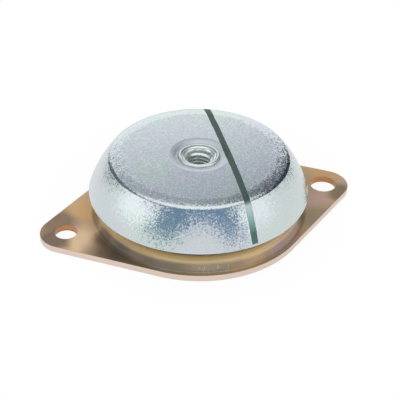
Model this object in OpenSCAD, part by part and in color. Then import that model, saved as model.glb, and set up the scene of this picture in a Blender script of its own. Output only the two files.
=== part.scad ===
// Bell-shaped anti-vibration mount: a drawn steel cup with a threaded insert, carried by a
// bonded rubber ring on a stamped two-hole base plate.
// The origin is the middle of the plate's underside, X runs through the two holes and the
// thread points up.

/* [Cup] */
// Height of the cup's top face above the plate's underside
overall_h = 32; // [28:0.5:44]
// Outside diameter of the cup at its rim
cup_d = 99; // [82:0.5:120]
// Diameter at which the side wall would meet the flat top
crown_d = 79; // [64:0.5:90]
// Height of the cup from its rim to its top face
cup_h = 17.7; // [12:0.1:20]
// Thickness of the cup's sheet
cup_sheet = 2; // [1.5:0.1:3]
// Inside radius of the crown, where the wall turns into the top
crown_inner_r = 0.6; // [0.3:0.1:3]
// Diameter of the sunk ring round the insert
dimple_d = 25; // [24:0.5:32]
// Depth of the sunk ring
dimple_depth = 0.8; // [0.4:0.1:1.2]
// Slope of the sunk ring's side, from the flat
dimple_slope = 20; // [15:1:60]

/* [Base plate] */
// Distance between the two fixing holes
hole_spacing = 124; // [118:0.5:150]
// Width of the plate across its round middle
plate_w = 99.5; // [84:0.5:104]
// Thickness of the plate
plate_sheet = 3; // [2:0.1:4]
// Radius of the plate's two ends
ear_r = 11.5; // [10:0.1:14]
// Diameter of the fixing hole at the -X end
small_hole_d = 10; // [8:0.1:15]
// Diameter of the fixing hole at the +X end
large_hole_d = 12; // [8:0.1:15]
// Height of the step up to the raised middle
rise = 5; // [4.1:0.1:7]
// Inside radius of the step's two bends
bend_r = 2; // [1:0.1:2.5]
// Slope of the step between its bends, from the flat
bend_angle = 60; // [45:1:70]
// Flat land left between the step's foot and the plate's narrowest edge
edge_land = 0.6; // [0.2:0.1:4]
// Diameter of the opening in the raised middle
opening_d = 34; // [28:0.5:44]

/* [Rubber spring] */
// How far the ring's foot stays inside the flat of the raised middle
foot_margin = 0.3; // [0.1:0.1:3]
// Clearance between the ring's side and the inside of the cup
side_clearance = 0.6; // [0.3:0.1:3]
// How deep the ring's free outer side curves in
waist = 1.6; // [0.5:0.1:4]
// Distance of the ring's inside from the edge of the plate's opening
opening_margin = 4; // [1:0.5:8]
// Distance of the ring's inside from the insert's flange
flange_clearance = 1.5; // [0.5:0.1:4]

/* [Threaded insert] */
// Core diameter of the tapped hole, for an M12 coarse thread
core_d = 10.2; // [6.8:0.1:12]
// Diameter of the countersink at the hole's mouth
mouth_d = 12.8; // [12.2:0.1:14]
// Diameter of the neck that is swaged into the cup
neck_d = 18.8; // [16:0.1:20]
// Diameter at the crest of the swaged lip
crest_d = 15.8; // [14.5:0.1:16]
// Height of the crest below the cup's top face
crest_drop = 0.1; // [0:0.05:0.3]
// Diameter of the flange under the cup
flange_d = 26; // [24:0.5:32]
// Thickness of the flange
flange_h = 4; // [2.5:0.1:5]
// Length of the body below the flange
body_l = 8; // [4:0.5:10]
// Diameter of the body below the flange
body_d = 18; // [16:0.5:20]
// Size of the chamfers on the insert's lower edges
insert_chamfer = 0.8; // [0.3:0.1:1.5]

/* [Hidden] */
$fn = 128;
// Reach of cutting shapes past what they cut
over = 10;
// Straight steps along each bend of the plate's section
BEND_STEPS = 10;

// The cup's side wall is a band of a sphere through the rim and the crown circle
rim_z = overall_h - cup_h;
sphere_z = (rim_z + overall_h) / 2 - (pow(cup_d / 2, 2) - pow(crown_d / 2, 2)) / (2 * cup_h);
sphere_r = norm([cup_d / 2, rim_z - sphere_z]);
crown_r = crown_inner_r + cup_sheet;
crown_z = overall_h - crown_r;
crown_x = sqrt(pow(sphere_r - crown_r, 2) - pow(crown_z - sphere_z, 2));
ceiling_z = overall_h - cup_sheet;

// The flat floor of the sunk ring, on the top and on the underside of the sheet
dimple_floor_r = dimple_d / 2 - dimple_depth / tan(dimple_slope);
dimple_shift = cup_sheet * tan(dimple_slope / 2);
dimple_z = overall_h - dimple_depth;

// The step of the base plate: two equal bends with a straight slope between them
foot_r = plate_w / 2 - edge_land;
bend_sum = 2 * bend_r + plate_sheet;
slope_l = (rise - bend_sum * (1 - cos(bend_angle))) / sin(bend_angle);
seat_r = foot_r - bend_sum * sin(bend_angle) - slope_l * cos(bend_angle);
seat_z = rise + plate_sheet;

// The rubber ring stands on the raised middle and stays inside the cup
rim_inner_r = sqrt(pow(sphere_r - cup_sheet, 2) - pow(rim_z - sphere_z, 2));
ring_foot_r = min(seat_r - foot_margin, rim_inner_r - side_clearance);
ring_top_r = crown_x - side_clearance;
ring_foot_inner_r = opening_d / 2 + opening_margin;
ring_top_inner_r = flange_d / 2 + flange_clearance;

// Heights on the insert
flange_top_z = dimple_z - cup_sheet;
flange_bottom_z = flange_top_z - flange_h;
insert_bottom_z = flange_bottom_z - body_l;
crest_z = overall_h - crest_drop;

function arc(centre, r, from, to) =
    [for (i = [0:BEND_STEPS]) centre + r * [cos(from + (to - from) * i / BEND_STEPS),
                                            sin(from + (to - from) * i / BEND_STEPS)]];

// Half section of everything inside the cup's outer surface moved in by d
module cup_inside(d) {
    wall_way = ([crown_x, crown_z] - [0, sphere_z]) / (sphere_r - crown_r);
    difference() {
        intersection() {
            translate([0, sphere_z]) circle(r = sphere_r - d);
            translate([0, rim_z - over]) square([cup_d, cup_h + over - d]);
        }
        translate([crown_x, crown_z])
            polygon([[0, 0], wall_way * over, [over, over], [0, over]]);
    }
    translate([crown_x, crown_z]) circle(r = crown_r - d);
}

// Half section of what lies above the sunk ring, where the sheet's surface is at face_z and
// the ring's floor at floor_z
module above_dimple(face_z, floor_z, shift) {
    polygon([
        [-over, face_z + over], [-over, floor_z], [dimple_floor_r + shift, floor_z],
        [dimple_d / 2 + shift, face_z], [dimple_d / 2 + shift, face_z + over]
    ]);
}

module top_cup() {
    color([0.78, 0.81, 0.84])
    rotate_extrude() intersection() {
        difference() {
            cup_inside(0);
            difference() {
                cup_inside(cup_sheet);
                above_dimple(ceiling_z, flange_top_z, dimple_shift);
            }
            above_dimple(overall_h, dimple_z, 0);
        }
        translate([neck_d / 2, rim_z]) square([cup_d, cup_h + over]);
    }
}

// Section of the sheet from the plate's opening out to the foot of the step
module raised_middle() {
    seat_centre = [seat_r, rise - bend_r];
    foot_centre = [foot_r, plate_sheet + bend_r];
    outer_r = bend_r + plate_sheet;
    rotate_extrude() polygon(concat(
        [[opening_d / 2, seat_z]],
        arc(seat_centre, outer_r, 90, 90 - bend_angle),
        arc(foot_centre, bend_r, 270 - bend_angle, 270),
        arc(foot_centre, outer_r, 270, 270 - bend_angle),
        arc(seat_centre, bend_r, 90 - bend_angle, 90),
        [[opening_d / 2, rise]]
    ));
}

// Outline of the plate: a round middle joined to two round ears by straight tangents
module plate_outline() {
    ear_x = hole_spacing / 2;
    normal = acos((plate_w / 2 - ear_r) / ear_x);
    circle(d = plate_w);
    for (side = [-1, 1]) {
        translate([side * ear_x, 0]) circle(r = ear_r);
        for (end = [-1, 1]) {
            way = [side * cos(normal), end * sin(normal)];
            polygon([[0, 0], way * plate_w / 2, [side * ear_x, 0] + way * ear_r, [side * ear_x, 0]]);
        }
    }
}

module base_plate() {
    color([0.72, 0.58, 0.36]) {
        linear_extrude(plate_sheet) difference() {
            plate_outline();
            circle(r = foot_r);
            translate([-hole_spacing / 2, 0]) circle(d = small_hole_d);
            translate([hole_spacing / 2, 0]) circle(d = large_hole_d);
        }
        raised_middle();
    }
}

module rubber_spring() {
    foot = [ring_foot_r, seat_z];
    top = [ring_top_r, ceiling_z];
    side = norm(top - foot);
    waist_r = (pow(side / 2, 2) + pow(waist, 2)) / (2 * waist);
    out = [top[1] - foot[1], foot[0] - top[0]] / side;
    color([0.08, 0.08, 0.09])
    rotate_extrude() difference() {
        polygon([
            [ring_foot_inner_r, seat_z], [cup_d / 2, seat_z], [cup_d / 2, ceiling_z],
            [ring_top_inner_r, ceiling_z]
        ]);
        translate((foot + top) / 2 + out * (waist_r - waist)) circle(r = waist_r);
    }
}

module threaded_insert() {
    color([0.82, 0.83, 0.82])
    rotate_extrude() difference() {
        polygon([
            [0, insert_bottom_z], [body_d / 2 - insert_chamfer, insert_bottom_z],
            [body_d / 2, insert_bottom_z + insert_chamfer], [body_d / 2, flange_bottom_z],
            [flange_d / 2 - insert_chamfer, flange_bottom_z],
            [flange_d / 2, flange_bottom_z + insert_chamfer], [flange_d / 2, flange_top_z],
            [neck_d / 2, flange_top_z], [neck_d / 2, dimple_z],
            [crest_d / 2, crest_z], [0, crest_z]
        ]);
        polygon([
            [0, insert_bottom_z - over], [core_d / 2 + insert_chamfer, insert_bottom_z - over],
            [core_d / 2 + insert_chamfer, insert_bottom_z],
            [core_d / 2, insert_bottom_z + insert_chamfer],
            [core_d / 2, crest_z - (mouth_d - core_d) / 2],
            [mouth_d / 2, crest_z], [mouth_d / 2, crest_z + over], [0, crest_z + over]
        ]);
    }
}

base_plate();
rubber_spring();
top_cup();
threaded_insert();
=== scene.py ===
import math

import bmesh
import bpy
from mathutils import Matrix, Vector


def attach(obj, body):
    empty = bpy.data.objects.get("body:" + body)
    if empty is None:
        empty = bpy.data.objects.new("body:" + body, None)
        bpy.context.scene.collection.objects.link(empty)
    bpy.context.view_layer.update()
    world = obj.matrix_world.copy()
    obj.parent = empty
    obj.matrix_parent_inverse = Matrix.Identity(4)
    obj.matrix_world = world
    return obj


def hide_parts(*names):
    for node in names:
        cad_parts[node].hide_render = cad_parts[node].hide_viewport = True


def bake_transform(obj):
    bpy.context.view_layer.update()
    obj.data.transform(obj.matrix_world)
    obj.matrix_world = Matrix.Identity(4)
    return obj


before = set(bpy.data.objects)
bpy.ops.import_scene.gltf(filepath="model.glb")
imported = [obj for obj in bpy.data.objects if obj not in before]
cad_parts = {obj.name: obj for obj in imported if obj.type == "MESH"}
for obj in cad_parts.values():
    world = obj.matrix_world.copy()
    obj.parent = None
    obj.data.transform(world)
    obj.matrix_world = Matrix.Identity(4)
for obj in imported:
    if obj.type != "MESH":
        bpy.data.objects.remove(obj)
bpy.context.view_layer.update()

# A millimetre in metres
MM = 0.001
# Points round the cup and the plate, round the smaller rings, and round the plate's ends and holes
ROUND = 192
SMALL_ROUND = 128
END_ROUND = 96

# Sizes in millimetres, the same as those of the mount's CAD source where it has them
TOP_Z = 32.0
RIM_Z = 14.3
RIM_R = 49.5
CUP_SHEET = 2.0
# Where the side wall would meet the flat top, and the outside radius of the bend between them
CROWN_EDGE_R = 39.5
CROWN_BEND = 2.6
# From this radius on, the pressed top falls away gently towards its bend, by this height
CROWN_FALL_R = 36.2
CROWN_FALL = 0.5
DIMPLE_R = 12.5
DIMPLE_DEPTH = 0.8
DIMPLE_SLOPE = math.radians(20)
CUP_HOLE_R = 9.45
PLATE_R = 49.75
PLATE_SHEET = 3.0
FOOT_R = 49.15
SEAT_R = 42.22
SEAT_Z = 8.0
STEP_BEND = 2.0
STEP_ANGLE = 60
EAR_X = 62.0
EAR_R = 11.5
SMALL_HOLE_R = 5.0
LARGE_HOLE_R = 6.0
OPENING_R = 17.0
RUBBER_FOOT = (21.0, 41.92)
RUBBER_TOP = (14.5, 37.69)
RUBBER_WAIST = 1.6
THREAD_CORE_R = 5.1
THREAD_ROOT_R = 6.05
THREAD_PITCH = 1.75
THREAD_FIRST_Z = 18.9
THREAD_TURNS = 6
# The thread's ridge reaches this far into the wall of its bore, and this is left free beside it
THREAD_SINK = 0.1
THREAD_SIDE_GAP = 0.06
NECK_R = 9.3
FLANGE_R = 13.0
FLANGE_TOP_Z = 29.2
FLANGE_BOTTOM_Z = 25.2
BODY_R = 9.0
INSERT_BOTTOM_Z = 17.2
INSERT_CHAMFER = 0.8
# Small corners of the insert that the lathe tool left blunt
BLUNT = 0.3
# The rolled lip over the sheet, and the countersunk mouth, a quarter round that is drawn out upward
LIP_CENTRE = (8.5, 31.05)
LIP_R = 0.85
MOUTH_FOOT_Z = 29.3
MOUTH_R = 1.55
MOUTH_STRETCH = 1.42
# Widths over which the pressing tools turn the sheet, and over which its trimmed edges are blunt
CROWN_FALL_BEND = 2.4
DIMPLE_BEND = 1.2
DIMPLE_FLOOR_BEND = 0.2
RIM_EDGE = 0.35
CUP_HOLE_EDGE = 0.2
PLATE_TOP_EDGE = 0.5
OPENING_TOP_EDGE = 0.4
PLATE_UNDER_EDGE = 0.15
# Points nearer than this are one point
SAME_POINT = 0.002

# The cup's wall is a band of this ball, through its rim and the edge of its crown
BALL_Z = (RIM_Z + TOP_Z) / 2 - (RIM_R ** 2 - CROWN_EDGE_R ** 2) / (2 * (TOP_Z - RIM_Z))
BALL_R = math.hypot(RIM_R, RIM_Z - BALL_Z)


# Modelling by hand, in code

def put_down():
    """Leaves edit mode with nothing selected, so that the next operator acts on its own piece."""
    if bpy.context.mode != "OBJECT":
        bpy.ops.object.mode_set(mode="OBJECT")
    bpy.ops.object.select_all(action="DESELECT")


def take_up(piece, mode="OBJECT"):
    put_down()
    piece.select_set(True)
    bpy.context.view_layer.objects.active = piece
    bpy.ops.object.mode_set(mode=mode)


def begin(name, body):
    """Names the new primitive, lets it ride on its body, and opens it with all of it selected."""
    piece = bpy.context.object
    piece.name = piece.data.name = name
    bpy.ops.object.transform_apply(location=True, rotation=True, scale=True)
    bpy.ops.object.mode_set(mode="EDIT")
    bpy.ops.mesh.select_all(action="SELECT")
    if body:
        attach(piece, body)
    return piece


def pick(kind, test):
    """In edit mode, selects the edges or faces that pass the test, and nothing else."""
    data = bpy.context.edit_object.data
    bpy.ops.mesh.select_mode(type={"edges": "EDGE", "faces": "FACE"}[kind])
    bpy.ops.mesh.select_all(action="DESELECT")
    mesh = bmesh.from_edit_mesh(data)
    for part in getattr(mesh, kind):
        if test(part):
            part.select_set(True)
    bmesh.update_edit_mesh(data)


def on_ring(radius, height, slack=0.05):
    """Test for the edges that lie on a level ring round the axis."""
    def test(edge):
        return all(abs(math.hypot(v.co.x, v.co.y) / MM - radius) < slack
                   and abs(v.co.z / MM - height) < slack for v in edge.verts)
    return test


def corner(height, slack=0.05):
    """Test for the edges between a level face and an upright wall at that height."""
    def test(edge):
        slopes = sorted(abs(face.normal.z) for face in edge.link_faces)
        return (all(abs(v.co.z / MM - height) < slack for v in edge.verts)
                and len(slopes) == 2 and slopes[0] < 0.3 and slopes[1] > 0.95)
    return test


def bevel(width, segments):
    bpy.ops.mesh.bevel(offset_type="OFFSET", offset=width * MM, segments=segments, profile=0.5,
                       affect="EDGES", clamp_overlap=True)


def arc(centre, radius, start, end, steps):
    """Points along a bend of a section, each (distance from the axis, height)."""
    turns = [math.radians(start + (end - start) * i / steps) for i in range(steps + 1)]
    return [(centre[0] + radius * math.cos(a), centre[1] + radius * math.sin(a)) for a in turns]


def draw_out(section):
    """Extrudes the selected ring, which stands at the section's first point, through the others."""
    for (r0, z0), (r1, z1) in zip(section, section[1:]):
        bpy.ops.mesh.extrude_region_move(TRANSFORM_OT_translate={"value": (0, 0, (z1 - z0) * MM)})
        if r1 != r0:
            bpy.ops.transform.resize(value=(r1 / r0, r1 / r0, 1), center_override=(0, 0, 0))


def ring_primitive(radius, height, count=ROUND, x=0.0):
    bpy.ops.mesh.primitive_circle_add(vertices=count, radius=radius * MM, fill_type="NOTHING",
                                      location=(x * MM, 0, height * MM))


def turned(name, body, section, count):
    """A closed section drawn out ring by ring from a circle, and back to where it began."""
    put_down()
    ring_primitive(*section[0], count)
    piece = begin(name, body)
    draw_out(section + section[:1])
    bpy.ops.mesh.select_all(action="SELECT")
    bpy.ops.mesh.remove_doubles(threshold=SAME_POINT * MM)
    bpy.ops.mesh.normals_make_consistent(inside=False)
    return piece


def apply_modifier(piece, kind, **settings):
    take_up(piece)
    modifier = piece.modifiers.new(kind.title(), kind)
    for key, value in settings.items():
        setattr(modifier, key, value)
    bpy.ops.object.modifier_apply(modifier=modifier.name)


def finish_surface(piece, material, angle=35):
    """Smooth shading that keeps flat faces flat and sharp edges sharp, and the piece's finish."""
    take_up(piece)
    bpy.ops.object.shade_smooth_by_angle(angle=math.radians(angle))
    apply_modifier(piece, "WEIGHTED_NORMAL", mode="FACE_AREA", weight=80, keep_sharp=True)
    piece.data.materials.clear()
    piece.data.materials.append(material)
    put_down()


# Building materials

def linear(code):
    """Linear colour of an sRGB hex value."""
    channels = [int(code[i:i + 2], 16) / 255 for i in (0, 2, 4)]
    return [c / 12.92 if c <= 0.04045 else ((c + 0.055) / 1.055) ** 2.4 for c in channels] + [1]


def node(tree, kind, sockets=None, **settings):
    """Adds a node with its settings, and fills its sockets with values or links."""
    made = tree.nodes.new("ShaderNode" + kind)
    for key, value in settings.items():
        setattr(made, key, value)
    for key, value in (sockets or {}).items():
        if isinstance(value, bpy.types.NodeSocket):
            tree.links.new(value, made.inputs[key])
        else:
            made.inputs[key].default_value = value
    return made


def new_material(name):
    material = bpy.data.materials.new(name)
    material.use_nodes = True
    tree = material.node_tree
    return material, tree, tree.nodes["Principled BSDF"]


def per_mm(size):
    """Scale of a pattern on Object coordinates, which are in metres, from its size in mm."""
    return 1 / (size * MM)


# Bright zinc on the drawn cup: the grain of the stretched sheet, and the clouds of its passivation,
# in millimetres
ORANGE_PEEL = 0.5
PASSIVATION_CLOUDS = 24
# The grain's facets tilt little in the flat top and much in the wall, and more and more between
# these two radii
PEEL_INNER_R = 32
PEEL_OUTER_R = 40
PEEL_TILT_TOP = 0.03
PEEL_TILT_WALL = 0.165
# The sunk ring is satin inside this radius
SATIN_R = 12.5
ZINC_ROUGHNESS = 0.23
SATIN_ROUGHNESS = 0.46
ENAMEL_EXTRA_ROUGHNESS = 0.18

# The painted stripe's middle line on the top: its X where Y is 0, its slope and its bow. It moves
# to +X with each millimetre down the wall, and ends a little above the rim
STRIPE_X = 12.85
STRIPE_SLOPE = 0.103
STRIPE_BOW = -0.00045
STRIPE_LEAN = 0.135
STRIPE_END_Z = RIM_Z + 0.9
# The paint is full to the first distance from that line and gone at the second. Its edge wanders
STRIPE_FULL = 1.35
STRIPE_GONE = 1.55
STRIPE_WANDER = 0.5
STRIPE_WANDER_LENGTH = 3


def bright_zinc_on_drawn_steel():
    """Bright zinc plating over deep-drawn sheet. The drawing leaves an orange-peel grain of about
    half a millimetre that breaks reflections into specks, and its cells are painted a little darker
    in the middle as dark reflected specks. The blue passivation leaves faint lilac and green
    clouds.
    One brushed stripe of dark green enamel lies over it, with a pale painted highlight below the
    crown."""
    material, tree, shader = new_material("bright_zinc_on_drawn_steel")
    place = node(tree, "TexCoord").outputs["Object"]
    clouds = node(tree, "TexNoise", {"Vector": place, "Scale": per_mm(PASSIVATION_CLOUDS),
                                     "Detail": 1.5})
    tint = node(tree, "ValToRGB", {"Fac": clouds.outputs["Fac"]})
    ramp = tint.color_ramp
    ramp.elements[0].position, ramp.elements[0].color = 0.34, linear("CCD0D7")
    ramp.elements[1].position, ramp.elements[1].color = 0.66, linear("C9D5D1")
    ramp.elements.new(0.5).color = linear("CAD2D6")
    grain = node(tree, "TexVoronoi", {"Vector": place, "Scale": per_mm(ORANGE_PEEL)})
    # The grain's cells are painted a little darker towards their middles: painted dark specks that
    # stand in for speckled reflections
    painted_specks = node(tree, "MapRange", {"Value": grain.outputs["Distance"], "From Max": 0.8,
                                    "To Min": 0.97, "To Max": 1.02})
    zinc = node(tree, "VectorMath", {0: tint.outputs["Color"], "Scale": painted_specks.outputs["Result"]},
                operation="SCALE").outputs["Vector"]

    mm = node(tree, "VectorMath", {0: place, "Scale": 1 / MM}, operation="SCALE").outputs["Vector"]
    x, y, z = node(tree, "SeparateXYZ", {0: mm}).outputs
    # The stripe is one stroke over the whole cup, bowed a little as a hand-drawn one is
    line = node(tree, "Math", {0: y, 1: STRIPE_BOW, 2: STRIPE_SLOPE}, operation="MULTIPLY_ADD")
    line = node(tree, "Math", {0: y, 1: line.outputs[0], 2: STRIPE_X}, operation="MULTIPLY_ADD")
    drop = node(tree, "Math", {0: TOP_Z, 1: z}, operation="SUBTRACT")
    line = node(tree, "Math", {0: drop.outputs[0], 1: STRIPE_LEAN, 2: line.outputs[0]},
                operation="MULTIPLY_ADD")
    wander = node(tree, "TexNoise", {"Vector": place, "Scale": per_mm(STRIPE_WANDER_LENGTH),
                                     "Detail": 2})
    off = node(tree, "Math", {0: x, 1: line.outputs[0]}, operation="SUBTRACT")
    off = node(tree, "Math", {0: wander.outputs["Fac"], 1: STRIPE_WANDER, 2: off.outputs[0]},
               operation="MULTIPLY_ADD")
    off = node(tree, "Math", {0: off.outputs[0], 1: STRIPE_WANDER / 2}, operation="SUBTRACT")
    off = node(tree, "Math", {0: off.outputs[0]}, operation="ABSOLUTE").outputs[0]
    stroke = node(tree, "MapRange", {"Value": off, "From Min": STRIPE_GONE,
                                     "From Max": STRIPE_FULL}, interpolation_type="SMOOTHSTEP")
    above_rim = node(tree, "Math", {0: z, 1: STRIPE_END_Z}, operation="GREATER_THAN")
    paint = node(tree, "Math", {0: stroke.outputs["Result"], 1: above_rim.outputs[0]},
                 operation="MULTIPLY").outputs[0]
    # The enamel's colour by height: a pale painted highlight where the stroke comes off the crown,
    # and full dark green again lower down
    height = node(tree, "MapRange", {"Value": z, "From Min": RIM_Z, "From Max": TOP_Z})
    enamel_with_highlight = node(tree, "ValToRGB", {"Fac": height.outputs["Result"]})
    ramp = enamel_with_highlight.color_ramp
    ramp.elements[0].position, ramp.elements[0].color = 0.0, linear("3A564E")
    ramp.elements[1].position, ramp.elements[1].color = 1.0, linear("28423B")
    for at, code in ((0.28, "2E5147"), (0.46, "537970"), (0.62, "6F938D"), (0.76, "90A09E"),
                     (0.88, "9AA9A7"), (0.93, "5C766F"), (0.97, "28423B")):
        ramp.elements.new(at).color = linear(code)
    # The brush left the paint thicker, and so darker, along both borders
    border = node(tree, "MapRange", {"Value": off, "From Min": 0.7, "From Max": 1.4,
                                     "To Min": 1.06, "To Max": 0.86})
    enamel_with_highlight = node(tree, "VectorMath", {0: enamel_with_highlight.outputs["Color"],
                                       "Scale": border.outputs["Result"]},
                  operation="SCALE").outputs["Vector"]
    colour = node(tree, "Mix", {0: paint, 6: zinc, 7: enamel_with_highlight}, data_type="RGBA").outputs[2]
    metal = node(tree, "Math", {0: 1.0, 1: paint}, operation="SUBTRACT").outputs[0]

    # The sheet was stretched least in the flat of the top, so its grain is finest there
    axis = node(tree, "CombineXYZ", {0: x, 1: y})
    spread = node(tree, "VectorMath", {0: axis.outputs["Vector"]}, operation="LENGTH")
    tilt = node(tree, "MapRange", {"Value": spread.outputs["Value"], "From Min": PEEL_INNER_R,
                                   "From Max": PEEL_OUTER_R, "To Min": PEEL_TILT_TOP,
                                   "To Max": PEEL_TILT_WALL})
    # Each cell's random colour, taken about its middle grey, is the way that its facet leans
    facet = node(tree, "VectorMath", {0: grain.outputs["Color"], 1: (0.5, 0.5, 0.5)},
                 operation="SUBTRACT")
    facet = node(tree, "VectorMath", {0: facet.outputs["Vector"], "Scale": tilt.outputs["Result"]},
                 operation="SCALE")
    level = node(tree, "NewGeometry").outputs["Normal"]
    tilted = node(tree, "VectorMath", {0: level, 1: facet.outputs["Vector"]}, operation="ADD")
    tilted = node(tree, "VectorMath", {0: tilted.outputs["Vector"]}, operation="NORMALIZE")
    # The sunk ring was left satin by the swaging, and the paint is rougher than the zinc
    satin = node(tree, "MapRange", {"Value": spread.outputs["Value"], "From Min": SATIN_R + 1.5,
                                    "From Max": SATIN_R, "To Min": ZINC_ROUGHNESS,
                                    "To Max": SATIN_ROUGHNESS})
    rough = node(tree, "Math", {0: paint, 1: ENAMEL_EXTRA_ROUGHNESS, 2: satin.outputs["Result"]},
                 operation="MULTIPLY_ADD")
    tree.links.new(colour, shader.inputs["Base Color"])
    tree.links.new(metal, shader.inputs["Metallic"])
    tree.links.new(rough.outputs[0], shader.inputs["Roughness"])
    tree.links.new(tilted.outputs["Vector"], shader.inputs["Normal"])
    return material


# Yellow film on the stamped plate: the size of its own blotches, and how far and over what length
# the patches below wander out of round, in millimetres
FILM_BLOTCHES = 22
PATCH_WANDER = 9
PATCH_WANDER_LENGTH = 12

# Patches that differ from the rest, most in the film and some of painted shade along the step:
# middle, reach and colour
FILM_AND_SHADE_PATCHES = [
    ((-55, -8), 14, "E4C29A"),    # pale tan on the left ear
    ((-64, 9), 13, "77614F"),     # mauve brown along its edge
    ((-48, 12), 12, "CDA268"),    # gold by the cup
    ((-69, -4), 11, "64544A"),    # smoky brown round the small hole
    ((-46, -9), 7, "7C6850"),     # painted shade at the foot of the step
    ((-47, -21), 15, "65594C"),   # painted shade, olive, at the left of the step
    ((-42, -21), 8, "665C50"),    # painted shade, darkest in the step itself
    ((-36, -31), 14, "786A56"),   # painted shade on along it
    ((-25, -39), 13, "968871"),   # painted shade fading towards the front
    ((-9, -44), 13, "AD9C82"),    # pale at the front
    ((25, -39), 14, "B69A8E"),    # mauve at the right of it
    ((57, 2), 17, "A68C6C"),      # grey tan on the right ear
    ((50, -11), 10, "BA9A8C"),    # mauve by the cup
    ((65, 7), 9, "BF9668"),       # gold behind the large hole
    ((67, -9), 10, "726644"),     # dark olive in front of it
    ((50, -25), 14, "94866A"),    # olive along the right edge
]
# The full share of a patch's colour, and the part of its reach over which it has that
PATCH_SHARE = 0.85
PATCH_CORE = 0.35

# Scratches at the front of the step: their middle, and how far out they are all there and all gone
SCRATCHES_AT = (-8, -48, 4)
SCRATCHES_FULL = 6
SCRATCHES_GONE = 10
# Noise is squeezed across the scratches, and drawn out along them, by these factors
SCRATCH_SHAPE = (2.4, 0.0, 0.3)


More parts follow.
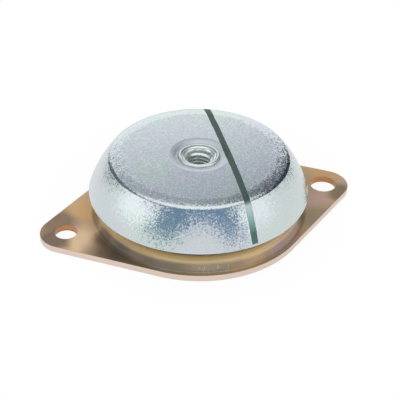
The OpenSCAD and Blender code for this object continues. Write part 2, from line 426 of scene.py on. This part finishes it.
def yellow_passivated_zinc():
    """Yellow chromate passivation over zinc-plated stamped steel: an oil-like film that turns
    from gold to brown, olive, pink and lilac in soft patches. Shade is painted dark at the foot of
    the step and along it, and a pale gold highlight is painted on its shoulder. The face is dark
    where it rolls over, the sheared edge is pale, and the holes are gold to orange. A few nicks and
    scratches go through it."""
    material, tree, shader = new_material("yellow_passivated_zinc")
    place = node(tree, "TexCoord").outputs["Object"]
    patches = node(tree, "TexNoise", {"Vector": place, "Scale": per_mm(FILM_BLOTCHES),
                                      "Detail": 3, "Roughness": 0.55, "Distortion": 0.5})
    tint = node(tree, "ValToRGB", {"Fac": patches.outputs["Fac"]})
    ramp = tint.color_ramp
    ramp.elements[0].position, ramp.elements[0].color = 0.3, linear("9A8763")
    ramp.elements[1].position, ramp.elements[1].color = 0.72, linear("B59C99")
    for at, code in ((0.42, "BE9C70"), (0.52, "C9A87A"), (0.62, "BC9C80")):
        ramp.elements.new(at).color = linear(code)
    colour = tint.outputs["Color"]

    mm = node(tree, "VectorMath", {0: place, "Scale": 1 / MM}, operation="SCALE").outputs["Vector"]
    wander_noise = node(tree, "TexNoise", {"Vector": place, "Scale": per_mm(PATCH_WANDER_LENGTH),
                                           "Detail": 1})
    wander = node(tree, "VectorMath", {0: wander_noise.outputs["Color"], "Scale": PATCH_WANDER},
                  operation="SCALE")
    wandered = node(tree, "VectorMath", {0: mm, 1: wander.outputs["Vector"]}, operation="ADD")
    wandered = wandered.outputs["Vector"]
    for at, reach, code in FILM_AND_SHADE_PATCHES:
        # The noise is about one half, so on average it moves a place by half of the wander
        middle = [c + PATCH_WANDER / 2 for c in (*at, PLATE_SHEET)]
        away = node(tree, "VectorMath", {0: wandered, 1: middle}, operation="DISTANCE")
        share = node(tree, "MapRange", {"Value": away.outputs["Value"], "From Min": reach,
                                        "From Max": PATCH_CORE * reach, "To Max": PATCH_SHARE},
                     interpolation_type="SMOOTHSTEP")
        colour = node(tree, "Mix", {0: share.outputs["Result"], 6: colour, 7: linear(code)},
                      data_type="RGBA").outputs[2]

    # Painted shade darkens the step from its foot to its shoulder
    x, y, z = node(tree, "SeparateXYZ", {0: mm}).outputs
    climb = node(tree, "MapRange", {"Value": z, "From Min": PLATE_SHEET, "From Max": SEAT_Z})
    painted_step_shade = node(tree, "ValToRGB", {"Fac": climb.outputs["Result"]})
    ramp = painted_step_shade.color_ramp
    ramp.elements[0].position, ramp.elements[0].color = 0.0, (1, 1, 1, 1)
    ramp.elements[1].position, ramp.elements[1].color = 1.0, (1, 1, 1, 1)
    for at, code in ((0.02, "E6E4E4"), (0.12, "C4C6CC"), (0.5, "C6CAD2"), (0.74, "FFFFFF")):
        ramp.elements.new(at).color = linear(code)
    colour = node(tree, "Mix", {0: 1.0, 6: colour, 7: painted_step_shade.outputs["Color"]}, data_type="RGBA",
                  blend_type="MULTIPLY").outputs[2]

    # A painted highlight on the shoulder of the step, pale gold
    painted_shoulder_highlight = node(tree, "MapRange", {"Value": z, "From Min": SEAT_Z - 2.0,
                                       "From Max": SEAT_Z - 0.3, "To Max": 0.9})
    colour = node(tree, "Mix", {0: painted_shoulder_highlight.outputs["Result"], 6: colour, 7: linear("FFDC9E")},
                  data_type="RGBA").outputs[2]
    upright = node(tree, "SeparateXYZ", {0: node(tree, "NewGeometry").outputs["True Normal"]})
    upright = node(tree, "Math", {0: upright.outputs[2]}, operation="ABSOLUTE").outputs[0]
    # A dark line where the face rolls over into the sheared edge
    rolled = node(tree, "MapRange", {"Value": upright, "From Min": 0.99, "From Max": 0.95})
    below = node(tree, "Math", {0: z, 1: PLATE_SHEET - 0.02}, operation="LESS_THAN")
    rolled = node(tree, "Math", {0: rolled.outputs["Result"], 1: below.outputs[0]},
                  operation="MULTIPLY")
    colour = node(tree, "Mix", {0: rolled.outputs[0], 6: colour, 7: linear("6B5C40")},
                  data_type="RGBA").outputs[2]
    # The sheared edge itself shows pale
    sheared = node(tree, "MapRange", {"Value": upright, "From Min": 0.42, "From Max": 0.3})
    colour = node(tree, "Mix", {0: sheared.outputs["Result"], 6: colour, 7: linear("CDB9AC")},
                  data_type="RGBA").outputs[2]
    # The walls of the fixing holes kept their film, gold to orange
    orange = node(tree, "ValToRGB", {"Fac": wander_noise.outputs["Fac"]})
    ramp = orange.color_ramp
    ramp.elements[0].position, ramp.elements[0].color = 0.38, linear("B08A4C")
    ramp.elements[1].position, ramp.elements[1].color = 0.62, linear("B4784E")
    aside = node(tree, "Math", {0: x}, operation="ABSOLUTE")
    aside = node(tree, "CombineXYZ", {0: aside.outputs[0], 1: y})
    aside = node(tree, "VectorMath", {0: aside.outputs["Vector"], 1: (EAR_X, 0, 0)},
                 operation="DISTANCE")
    inside = node(tree, "Math", {0: aside.outputs["Value"], 1: LARGE_HOLE_R + 0.1},
                  operation="LESS_THAN")
    inside = node(tree, "Math", {0: inside.outputs[0], 1: sheared.outputs["Result"]},
                  operation="MULTIPLY")
    colour = node(tree, "Mix", {0: inside.outputs[0], 6: colour, 7: orange.outputs["Color"]},
                  data_type="RGBA").outputs[2]
    # Small nicks that bare the zinc, less than a millimetre across and some 15 mm apart
    nicks = node(tree, "TexVoronoi", {"Vector": place, "Scale": per_mm(15)})
    nicked = node(tree, "MapRange", {"Value": nicks.outputs["Distance"], "From Min": 0.028,
                                     "From Max": 0.02})
    colour = node(tree, "Mix", {0: nicked.outputs["Result"], 6: colour, 7: linear("E4DACB")},
                  data_type="RGBA").outputs[2]

    # Short upright scratches through the film at the front of the step
    stretched = node(tree, "VectorMath", {0: mm, 1: SCRATCH_SHAPE}, operation="MULTIPLY")
    scratches = node(tree, "TexNoise", {"Vector": stretched.outputs["Vector"], "Scale": 1.0,
                                        "Detail": 0})
    scratched = node(tree, "MapRange", {"Value": scratches.outputs["Fac"], "From Min": 0.68,
                                        "From Max": 0.74, "To Max": 0.5})
    away = node(tree, "VectorMath", {0: mm, 1: SCRATCHES_AT}, operation="DISTANCE")
    there = node(tree, "MapRange", {"Value": away.outputs["Value"], "From Min": SCRATCHES_GONE,
                                    "From Max": SCRATCHES_FULL})
    scratched = node(tree, "Math", {0: scratched.outputs["Result"], 1: there.outputs["Result"]},
                     operation="MULTIPLY")
    colour = node(tree, "Mix", {0: scratched.outputs[0], 6: colour, 7: linear("C8BCA2")},
                  data_type="RGBA").outputs[2]

    # The rolled sheet's grain, drawn at a millimetre, coarser than the real one, so that it shows
    grain = node(tree, "TexNoise", {"Vector": place, "Scale": per_mm(1.1), "Detail": 2.5})
    bump = node(tree, "Bump", {"Height": grain.outputs["Fac"], "Strength": 1.0,
                               "Distance": 0.05 * MM})
    tree.links.new(colour, shader.inputs["Base Color"])
    tree.links.new(bump.outputs["Normal"], shader.inputs["Normal"])
    shader.inputs["Metallic"].default_value = 0.4
    shader.inputs["Roughness"].default_value = 0.28
    return material


def moulded_natural_rubber():
    """Black moulded rubber: nearly matt, with a faint bloom and the mould's fine texture."""
    material, tree, shader = new_material("moulded_natural_rubber")
    place = node(tree, "TexCoord").outputs["Object"]
    bloom = node(tree, "TexNoise", {"Vector": place, "Scale": per_mm(9), "Detail": 3})
    tint = node(tree, "ValToRGB", {"Fac": bloom.outputs["Fac"]})
    ramp = tint.color_ramp
    ramp.elements[0].position, ramp.elements[0].color = 0.3, linear("0E0E0F")
    ramp.elements[1].position, ramp.elements[1].color = 0.8, linear("1A1B1C")
    skin = node(tree, "TexNoise", {"Vector": place, "Scale": per_mm(0.8), "Detail": 3})
    bump = node(tree, "Bump", {"Height": skin.outputs["Fac"], "Strength": 1.0,
                               "Distance": 0.05 * MM})
    tree.links.new(tint.outputs["Color"], shader.inputs["Base Color"])
    tree.links.new(bump.outputs["Normal"], shader.inputs["Normal"])
    shader.inputs["Roughness"].default_value = 0.6
    return material


def bright_zinc_on_turned_steel():
    """Bright zinc plating over a turned and swaged bush: smoother and paler than the sheet, with
    the faint unevenness that the swaging leaves, about a millimetre across."""
    material, tree, shader = new_material("bright_zinc_on_turned_steel")
    place = node(tree, "TexCoord").outputs["Object"]
    grain = node(tree, "TexNoise", {"Vector": place, "Scale": per_mm(1.2), "Detail": 2})
    tint = node(tree, "ValToRGB", {"Fac": grain.outputs["Fac"]})
    ramp = tint.color_ramp
    ramp.elements[0].position, ramp.elements[0].color = 0.3, linear("D0D8D7")
    ramp.elements[1].position, ramp.elements[1].color = 0.7, linear("DEE5E2")
    bump = node(tree, "Bump", {"Height": grain.outputs["Fac"], "Strength": 1.0,
                               "Distance": 0.03 * MM})
    tree.links.new(tint.outputs["Color"], shader.inputs["Base Color"])
    tree.links.new(bump.outputs["Normal"], shader.inputs["Normal"])
    shader.inputs["Metallic"].default_value = 0.75
    shader.inputs["Roughness"].default_value = 0.26
    return material


# The drawn cup

def drawn_cup():
    put_down()
    bpy.ops.mesh.primitive_uv_sphere_add(segments=ROUND, ring_count=60, radius=BALL_R * MM,
                                         location=(0, 0, BALL_Z * MM))
    cup = begin("drawn_cup", "cup")
    # The wall goes on below the rim until the sheet has its thickness, and is trimmed there
    bpy.ops.mesh.bisect(plane_co=(0, 0, (RIM_Z - CUP_SHEET) * MM), plane_no=(0, 0, 1),
                        clear_inner=True)
    bpy.ops.mesh.select_all(action="SELECT")
    crown_z = TOP_Z - CROWN_FALL
    crown_r = math.sqrt(BALL_R ** 2 - (crown_z - BALL_Z) ** 2)
    bpy.ops.mesh.bisect(plane_co=(0, 0, crown_z * MM), plane_no=(0, 0, 1), clear_outer=True,
                        use_fill=True)
    # The top: its gentle fall, its flat, and the sunk ring with its sloped side and its hole
    pick("faces", lambda face: face.normal.z > 0.999
         and face.calc_center_median().z > (crown_z - 0.1) * MM)
    bpy.ops.mesh.inset(thickness=(crown_r - CROWN_FALL_R) * MM, depth=CROWN_FALL * MM)
    bpy.ops.mesh.inset(thickness=(CROWN_FALL_R - DIMPLE_R) * MM)
    slope = DIMPLE_DEPTH / math.tan(DIMPLE_SLOPE)
    bpy.ops.mesh.inset(thickness=slope * MM, depth=-DIMPLE_DEPTH * MM)
    bpy.ops.mesh.inset(thickness=(DIMPLE_R - slope - CUP_HOLE_R) * MM)
    bpy.ops.mesh.delete(type="FACE")
    # The bends that the punch leaves
    pick("edges", on_ring(crown_r, crown_z))
    wall_turn = math.asin(crown_r / BALL_R) - math.atan(CROWN_FALL / (crown_r - CROWN_FALL_R))
    bevel(CROWN_BEND * math.tan(wall_turn / 2), 16)
    pick("edges", on_ring(CROWN_FALL_R, TOP_Z))
    bevel(CROWN_FALL_BEND, 10)
    pick("edges", on_ring(DIMPLE_R, TOP_Z))
    bevel(DIMPLE_BEND, 7)
    pick("edges", on_ring(DIMPLE_R - slope, TOP_Z - DIMPLE_DEPTH))
    bevel(DIMPLE_FLOOR_BEND, 3)
    bpy.ops.mesh.select_all(action="SELECT")
    bpy.ops.mesh.normals_make_consistent(inside=False)
    apply_modifier(cup, "SOLIDIFY", thickness=CUP_SHEET * MM, offset=-1, use_even_offset=True)
    # The trimmed rim
    take_up(cup, "EDIT")
    bpy.ops.mesh.select_all(action="SELECT")
    bpy.ops.mesh.bisect(plane_co=(0, 0, RIM_Z * MM), plane_no=(0, 0, 1), clear_inner=True)
    pick("edges", lambda edge: edge.is_boundary)
    bpy.ops.mesh.bridge_edge_loops()
    pick("edges", corner(RIM_Z))
    bevel(RIM_EDGE, 3)
    pick("edges", on_ring(CUP_HOLE_R, TOP_Z - DIMPLE_DEPTH))
    bevel(CUP_HOLE_EDGE, 2)
    finish_surface(cup, bright_zinc_on_drawn_steel())
    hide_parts("top_cup")


# The stamped plate

def stamped_plate():
    # Three discs with their upper faces at the sheet's height, for the hull round them
    disc_h = 2
    disc_z = (PLATE_SHEET - disc_h / 2) * MM
    put_down()
    bpy.ops.mesh.primitive_cylinder_add(vertices=ROUND, radius=PLATE_R * MM, depth=disc_h * MM,
                                        location=(0, 0, disc_z))
    plate = begin("stamped_plate", "base")
    for side in (-1, 1):
        bpy.ops.mesh.primitive_cylinder_add(vertices=END_ROUND, radius=EAR_R * MM,
                                            depth=disc_h * MM,
                                            location=(side * EAR_X * MM, 0, disc_z))
    bpy.ops.mesh.select_all(action="SELECT")
    bpy.ops.mesh.convex_hull()
    # Only the outline of the hull's upper face is kept
    pick("faces", lambda face: face.normal.z < 0.9)
    bpy.ops.mesh.delete(type="FACE")
    bpy.ops.mesh.select_all(action="SELECT")
    bpy.ops.mesh.dissolve_faces()
    bpy.ops.mesh.delete(type="ONLY_FACE")
    ring_primitive(SMALL_HOLE_R, PLATE_SHEET, END_ROUND, -EAR_X)
    ring_primitive(LARGE_HOLE_R, PLATE_SHEET, END_ROUND, EAR_X)
    ring_primitive(FOOT_R, PLATE_SHEET)
    bpy.ops.mesh.select_all(action="SELECT")
    bpy.ops.mesh.fill(use_beauty=True)
    bpy.ops.mesh.select_all(action="SELECT")
    bpy.ops.mesh.dissolve_limited(angle_limit=math.radians(0.5))
    # The step up to the raised middle, and the middle in to its opening
    pick("edges", on_ring(FOOT_R, PLATE_SHEET))
    foot_bend = arc((FOOT_R, PLATE_SHEET + STEP_BEND), STEP_BEND, 270, 270 - STEP_ANGLE, 8)
    seat_bend = arc((SEAT_R, SEAT_Z - PLATE_SHEET - STEP_BEND), PLATE_SHEET + STEP_BEND,
                    90 - STEP_ANGLE, 90, 12)
    draw_out(foot_bend + seat_bend + [(OPENING_R, SEAT_Z)])
    bpy.ops.mesh.select_all(action="SELECT")
    bpy.ops.mesh.normals_make_consistent(inside=False)
    apply_modifier(plate, "SOLIDIFY", thickness=PLATE_SHEET * MM, offset=-1, use_even_offset=True)
    take_up(plate, "EDIT")
    for height, width, steps in ((PLATE_SHEET, PLATE_TOP_EDGE, 4), (SEAT_Z, OPENING_TOP_EDGE, 4),
                                 (0, PLATE_UNDER_EDGE, 2),
                                 (SEAT_Z - PLATE_SHEET, PLATE_UNDER_EDGE, 2)):
        pick("edges", corner(height))
        bevel(width, steps)
    finish_surface(plate, yellow_passivated_zinc())
    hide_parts("base_plate")


# The rubber ring

def rubber_ring():
    # Its outside is an arc that curves in, and its inside a plain cone
    foot = Vector((RUBBER_FOOT[1], SEAT_Z))
    top = Vector((RUBBER_TOP[1], TOP_Z - CUP_SHEET))
    side = top - foot
    out = Vector((side.y, -side.x)).normalized()
    radius = ((side.length / 2) ** 2 + RUBBER_WAIST ** 2) / (2 * RUBBER_WAIST)
    centre = (foot + top) / 2 + out * (radius - RUBBER_WAIST)
    start, end = (math.degrees(math.atan2(*reversed(p - centre))) % 360 for p in (foot, top))
    outside = arc(centre, radius, start, end, 20)
    rows = 16
    inside = [(RUBBER_TOP[0] + (RUBBER_FOOT[0] - RUBBER_TOP[0]) * i / rows,
               top.y + (foot.y - top.y) * i / rows) for i in range(rows + 1)]
    ring = turned("rubber_ring", None, outside + inside, SMALL_ROUND)
    finish_surface(ring, moulded_natural_rubber())
    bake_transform(ring)
    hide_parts("rubber_spring")


# The threaded insert

def thread_ridge():
    """The ridge of the inside thread: its section, wound upward by the Screw modifier."""
    put_down()
    bpy.ops.mesh.primitive_plane_add(size=1)
    ridge = begin("thread_ridge", None)
    foot_r = THREAD_ROOT_R + THREAD_SINK
    half_foot = THREAD_PITCH / 2 - THREAD_SIDE_GAP
    half_crest = THREAD_PITCH / 8
    corners = [(foot_r, -half_foot), (THREAD_CORE_R, -half_crest),
               (THREAD_CORE_R, half_crest), (foot_r, half_foot)]
    mesh = bmesh.from_edit_mesh(ridge.data)
    mesh.faces.ensure_lookup_table()
    for vert, (r, z) in zip(mesh.faces[0].verts, corners):
        vert.co = (r * MM, 0, (THREAD_FIRST_Z + z) * MM)
    bmesh.update_edit_mesh(ridge.data)
    bpy.ops.mesh.delete(type="ONLY_FACE")
    apply_modifier(ridge, "SCREW", axis="Z", angle=2 * math.pi, screw_offset=THREAD_PITCH * MM,
                   iterations=THREAD_TURNS, steps=END_ROUND, render_steps=END_ROUND,
                   use_merge_vertices=False)
    take_up(ridge, "EDIT")
    bpy.ops.mesh.select_all(action="SELECT")
    bpy.ops.mesh.fill_holes(sides=4)
    bpy.ops.mesh.select_all(action="SELECT")
    bpy.ops.mesh.normals_make_consistent(inside=False)
    put_down()
    return ridge


def swaged_insert():
    # The bore, the rounded mouth and the low rim at its top
    mouth = [(r, MOUTH_FOOT_Z + MOUTH_STRETCH * (z - MOUTH_FOOT_Z))
             for r, z in arc((THREAD_ROOT_R + MOUTH_R, MOUTH_FOOT_Z), MOUTH_R, 180, 90, 12)]
    section = [(THREAD_ROOT_R, INSERT_BOTTOM_Z + 0.7)] + mouth
    # A groove, the rolled lip, and the neck down to the flange
    section += [(7.7, 30.9), (8.05, 30.9)]
    section += arc(LIP_CENTRE, LIP_R, 0, 115, 10)[::-1]
    section += [(LIP_CENTRE[0] + LIP_R, 30.6), (NECK_R, FLANGE_TOP_Z)]
    # The flange, and the body below it
    section += [(FLANGE_R - BLUNT, FLANGE_TOP_Z), (FLANGE_R, FLANGE_TOP_Z - BLUNT),
                (FLANGE_R, FLANGE_BOTTOM_Z + INSERT_CHAMFER),
                (FLANGE_R - INSERT_CHAMFER, FLANGE_BOTTOM_Z),
                (BODY_R + BLUNT, FLANGE_BOTTOM_Z), (BODY_R, FLANGE_BOTTOM_Z - BLUNT),
                (BODY_R, INSERT_BOTTOM_Z + INSERT_CHAMFER),
                (BODY_R - INSERT_CHAMFER, INSERT_BOTTOM_Z),
                (THREAD_ROOT_R + 0.65, INSERT_BOTTOM_Z)]
    insert = turned("swaged_insert", "cup", section, SMALL_ROUND)
    ridge = thread_ridge()
    take_up(insert)
    ridge.select_set(True)
    bpy.ops.object.join()
    finish_surface(insert, bright_zinc_on_turned_steel())
    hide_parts("threaded_insert")


# Studio

# Places and distances here are in metres, and angles in degrees as the mount sees them. The camera
# was fitted to the outlines in the photograph
CAMERA_AT = Vector((-0.15302, -0.43780, 0.33824))
CAMERA_TARGET = Vector((0, 0, 0.010))
CAMERA_ROLL = 0.989
CAMERA_LENS = 112.62
CAMERA_SENSOR = 36
CAMERA_SHIFT = (0.0039, -0.0131)

# The paper lies just under the plate, and most of what is seen of it is plain white
FLOOR_SIZE = 12
FLOOR_Z = -0.00005
PLAIN_WHITE = 0.9
# The room's strength as light. Where it is seen, it is 1
ROOM_LIGHT = 0.95


def facing(azimuth, elevation):
    """Unit vector towards a place in the studio. Azimuth 0 is at +Y and 90 at +X, in degrees."""
    a, e = math.radians(azimuth), math.radians(elevation)
    return Vector((math.sin(a) * math.cos(e), math.cos(a) * math.cos(e), math.sin(e)))


def softbox(name, azimuth, elevation, width, height, brightness, distance=1.0):
    """A soft lamp that faces the mount, with its width and height in degrees as the mount sees
    it. Its brightness adds to that of the white room behind it, which is 1."""
    way = facing(azimuth, elevation)
    put_down()
    bpy.ops.object.light_add(type="AREA", location=way * distance)
    lamp = bpy.context.object
    lamp.name = name
    lamp.rotation_mode = "QUATERNION"
    lamp.rotation_quaternion = way.to_track_quat("Z", "Y")
    lamp.data.shape = "RECTANGLE"
    lamp.data.size = 2 * distance * math.tan(math.radians(width / 2))
    lamp.data.size_y = 2 * distance * math.tan(math.radians(height / 2))
    lamp.data.energy = brightness * math.pi * lamp.data.size * lamp.data.size_y
    return lamp


def seen_rays(tree):
    """1 for rays that the camera sees, straight, mirrored or looked through, and 0 for light."""
    rays = node(tree, "LightPath").outputs
    seen = node(tree, "Math", {0: rays["Is Camera Ray"], 1: rays["Is Glossy Ray"]})
    seen = node(tree, "Math", {0: seen.outputs[0], 1: rays["Is Transmission Ray"]}, use_clamp=True)
    return seen.outputs[0]


def paper_floor():
    """White paper. Seen, mirrored or looked through, it is nearly all plain white, and the small
    lit share keeps the mount's shadow."""
    put_down()
    bpy.ops.mesh.primitive_plane_add(size=FLOOR_SIZE, location=(0, 0, FLOOR_Z))
    floor = bpy.context.object
    floor.name = "paper_floor"
    material, tree, shader = new_material("white_paper")
    shader.inputs["Base Color"].default_value = linear("F2F2F2")
    shader.inputs["Roughness"].default_value = 0.9
    shader.inputs["Specular IOR Level"].default_value = 0.0
    share = node(tree, "Math", {0: seen_rays(tree), 1: PLAIN_WHITE}, operation="MULTIPLY")
    white = node(tree, "Emission", {"Color": (1, 1, 1, 1), "Strength": 1.0})
    mixed = node(tree, "MixShader", {0: share.outputs[0], 1: shader.outputs[0],
                                     2: white.outputs[0]})
    tree.links.new(mixed.outputs[0], tree.nodes["Material Output"].inputs["Surface"])
    floor.data.materials.append(material)


def pale_room():
    """A plain pale room: white where it is seen or mirrored, a little darker as light."""
    world = bpy.data.worlds.new("pale_room")
    bpy.context.scene.world = world
    world.use_nodes = True
    tree = world.node_tree
    strength = node(tree, "MapRange", {"Value": seen_rays(tree), "To Min": ROOM_LIGHT,
                                       "To Max": 1.0})
    light = tree.nodes["Background"]
    light.inputs["Color"].default_value = (1, 1, 1, 1)
    tree.links.new(strength.outputs["Result"], light.inputs["Strength"])


def hang(card, name, code):
    """Stages a screen of dark cloth that only bright metal mirrors: it takes no light from the
    mount and is clear to the camera."""
    card.name = name
    card.visible_diffuse = card.visible_shadow = False
    material, tree, _ = new_material(name)
    cloth = node(tree, "Emission", {"Color": linear(code), "Strength": 1.0})
    rays = node(tree, "LightPath").outputs
    clear = node(tree, "BsdfTransparent")
    mixed = node(tree, "MixShader", {0: rays["Is Camera Ray"], 1: cloth.outputs[0],
                                     2: clear.outputs[0]})
    tree.links.new(mixed.outputs[0], tree.nodes["Material Output"].inputs["Surface"])
    card.data.materials.append(material)


# Outlines of the dark screens, as two edges of points that face each other, each (azimuth,
# elevation). The arch stands round the camera's place
ARCH = ([(-98, 9), (-107, 14), (-119, 30), (-134, 48), (-166, 60),
         (-206, 46), (-201, 28), (-206, 14), (-216, 9)],
        [(-134, 9), (-139, 12), (-145, 22), (-152, 29), (-166, 32),
         (-177, 30), (-183, 22), (-187, 12), (-190, 9)])
BACK_BAND = ([(-22, 48), (5, 49), (28, 50), (50, 48)],
             [(-22, 41), (5, 37.5), (28, 34), (50, 27)])
BACK_LEFT = ([(-82, 43), (-60, 49), (-35, 49), (-4, 46)],
             [(-80, 36), (-55, 15), (-38, 2), (-21, 2)])
BACK_RIGHT = ([(15, 50), (58, 54), (88, 53), (116, 44)],
              [(53, 0), (68, 0), (84, 13), (118, 35)])


def dark_screen(name, edges, code, distance=0.9):
    """A grid of one row between the two edges of its outline."""
    put_down()
    bpy.ops.mesh.primitive_grid_add(x_subdivisions=len(edges[0]) - 1, y_subdivisions=1)
    screen = bpy.context.object
    for vert, way in zip(screen.data.vertices, edges[0] + edges[1]):
        vert.co = facing(*way) * distance
    hang(screen, name, code)


def dark_ceiling(inner, outer, height, code):
    """A dark ring round the overhead lamp."""
    put_down()
    bpy.ops.mesh.primitive_circle_add(vertices=96, radius=inner, location=(0, 0, height))
    ring = bpy.context.object
    bpy.ops.object.transform_apply(location=True)
    bpy.ops.object.mode_set(mode="EDIT")
    bpy.ops.mesh.select_all(action="SELECT")
    bpy.ops.mesh.extrude_region_move()
    bpy.ops.transform.resize(value=(outer / inner, outer / inner, 1),
                             center_override=(0, 0, height))
    bpy.ops.object.mode_set(mode="OBJECT")
    hang(ring, "dark_ceiling", code)


def photo_camera():
    """Stands where the photograph was taken from."""
    bpy.ops.object.camera_add(location=CAMERA_AT)
    camera = bpy.context.object
    camera.name = "photo_camera"
    camera.rotation_mode = "QUATERNION"
    level = (CAMERA_AT - CAMERA_TARGET).to_track_quat("Z", "Y").to_matrix()
    roll = Matrix.Rotation(math.radians(CAMERA_ROLL), 3, "Z")
    camera.rotation_quaternion = (level @ roll).to_quaternion()
    camera.data.lens = CAMERA_LENS
    camera.data.sensor_width = CAMERA_SENSOR
    camera.data.shift_x, camera.data.shift_y = CAMERA_SHIFT
    camera.data.clip_start, camera.data.clip_end = 0.01, 50
    bpy.context.scene.camera = camera


# The mount and its studio

put_down()
photo_camera()
drawn_cup()
stamped_plate()
rubber_ring()
swaged_insert()

paper_floor()
pale_room()
softbox("left_softbox", azimuth=-90, elevation=21, width=44, height=25, brightness=0.4)
softbox("right_softbox", azimuth=134, elevation=24, width=38, height=26, brightness=0.3)
softbox("overhead_softbox", azimuth=0, elevation=90, width=50, height=50, brightness=0.25)
softbox("back_softbox", azimuth=19, elevation=26, width=80, height=14, brightness=0.35)
# A low lamp reaches under the rim of the cup. The cup doesn't mirror it
front = softbox("front_softbox", azimuth=-161, elevation=22, width=80, height=30, brightness=1.85,
                distance=1.5)
front.visible_glossy = False
dark_screen("dark_arch", ARCH, "7595B4")
dark_screen("back_band", BACK_BAND, "98A3AE", distance=0.85)
dark_screen("back_left_screen", BACK_LEFT, "626E78")
dark_screen("back_right_screen", BACK_RIGHT, "303A46")
dark_ceiling(inner=0.82, outer=1.30, height=1.0, code="5E6B79")

bpy.context.scene.view_settings.view_transform = "Standard"
